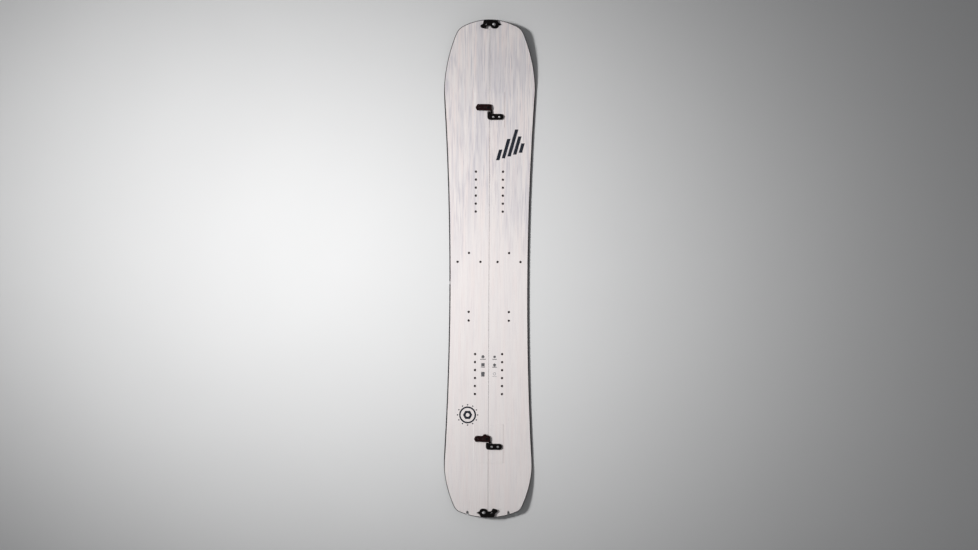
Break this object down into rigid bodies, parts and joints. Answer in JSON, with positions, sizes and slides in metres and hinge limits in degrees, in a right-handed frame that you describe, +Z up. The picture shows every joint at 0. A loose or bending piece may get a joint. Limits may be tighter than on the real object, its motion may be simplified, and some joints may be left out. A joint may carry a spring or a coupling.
{
  "type": "splitboard",
  "caption": "Snowboard split lengthwise into two laminated halves with raised tips, threaded inserts, lever seam clips and swivelling tip hooks.",
  "frame": {"origin": "on the seam, halfway along the board, on the surface that the base lies on", "axes": "+Y towards the nose, +X across to the right half seen from above, +Z up from the base through the topsheet"},
  "size_m": [0.2912, 1.58, 0.0549],
  "materials": {
    "topsheet": "matt, printed wood grain",
    "laminate": "glass fibre in resin",
    "core": "laminated wood strips",
    "spacer": "matt",
    "sidewall": "sanded",
    "base": "stone ground",
    "edge": "ground",
    "insert": "plain",
    "clip": "black anodised",
    "lever": "dark anodised",
    "steel": "satin"
  },
  "bodies": {
    "left_ski": {"left_base": "base", "left_edge": "edge", "left_lower_laminate": "laminate", "left_core": "core", "left_nose_spacer": "spacer", "left_tail_spacer": "spacer", "left_outer_sidewall": "sidewall", "left_inner_sidewall": "sidewall", "left_upper_laminate": "laminate", "left_topsheet": "topsheet", "left_front_binding_inserts": "insert", "left_rear_binding_inserts": "insert", "left_touring_inserts": "insert", "left_heel_inserts": "insert", "front_clip_bracket": "clip", "front_clip_pivot": "clip", "front_bracket_screw_1": "steel", "front_bracket_screw_2": "steel", "rear_clip_bracket": "clip", "rear_clip_pivot": "clip", "rear_bracket_screw_1": "steel", "rear_bracket_screw_2": "steel", "nose_hook_plate": "clip", "nose_hook_pivot": "clip", "nose_hook_plate_screw": "clip", "tail_stud_plate": "clip", "tail_stud": "steel", "tail_stud_plate_screw": "clip"},
    "right_ski": {"right_base": "base", "right_edge": "edge", "right_lower_laminate": "laminate", "right_core": "core", "right_nose_spacer": "spacer", "right_tail_spacer": "spacer", "right_outer_sidewall": "sidewall", "right_inner_sidewall": "sidewall", "right_upper_laminate": "laminate", "right_topsheet": "topsheet", "right_front_binding_inserts": "insert", "right_rear_binding_inserts": "insert", "right_touring_inserts": "insert", "right_heel_inserts": "insert", "front_clip_catch": "clip", "front_catch_screw_1": "steel", "front_catch_screw_2": "steel", "rear_clip_catch": "clip", "rear_catch_screw_1": "steel", "rear_catch_screw_2": "steel", "nose_stud_plate": "clip", "nose_stud": "steel", "nose_stud_plate_screw": "clip", "tail_hook_plate": "clip", "tail_hook_pivot": "clip", "tail_hook_plate_screw": "clip"},
    "front_lever": {"front_clip_lever": "lever"},
    "front_hook": {"front_clip_hook": "clip"},
    "rear_lever": {"rear_clip_lever": "lever"},
    "rear_hook": {"rear_clip_hook": "clip"},
    "nose_hook": {"nose_hook": "clip"},
    "tail_hook": {"tail_hook": "clip"}
  },
  "joints": [
    {"name": "split_slide", "type": "slide", "parent": "left_ski", "child": "right_ski", "axis": [0.1736, -0.9848, 0], "range_m": [0, 0.25]},
    {"name": "front_lever_turn", "type": "hinge", "parent": "left_ski", "child": "front_lever", "pos_m": [-0.005, 0.512, 0.0154], "axis": [0, 0, -1], "range_deg": [0, 90]},
    {"name": "front_hook_slide", "type": "slide", "parent": "left_ski", "child": "front_hook", "axis": [1, 0, 0], "range_m": [0, 0.0025]},
    {"name": "rear_lever_turn", "type": "hinge", "parent": "left_ski", "child": "rear_lever", "pos_m": [-0.005, -0.541, 0.0154], "axis": [0, 0, -1], "range_deg": [0, 90]},
    {"name": "rear_hook_slide", "type": "slide", "parent": "left_ski", "child": "rear_hook", "axis": [1, 0, 0], "range_m": [0, 0.0025]},
    {"name": "nose_hook_swing", "type": "hinge", "parent": "left_ski", "child": "nose_hook", "pos_m": [-0.0124, 0.77463, 0.04373], "axis": [0, -0.1696, 0.9855], "range_deg": [0, 55]},
    {"name": "tail_hook_swing", "type": "hinge", "parent": "right_ski", "child": "tail_hook", "pos_m": [0.0124, -0.77462, 0.03378], "axis": [0, 0.1672, 0.9859], "range_deg": [0, 55]}
  ],
  "couplings": [
    {"joint": "front_hook_slide", "follows": "front_lever_turn", "m_per_rad": 0.0015915},
    {"joint": "rear_hook_slide", "follows": "rear_lever_turn", "m_per_rad": 0.0015915}
  ]
}
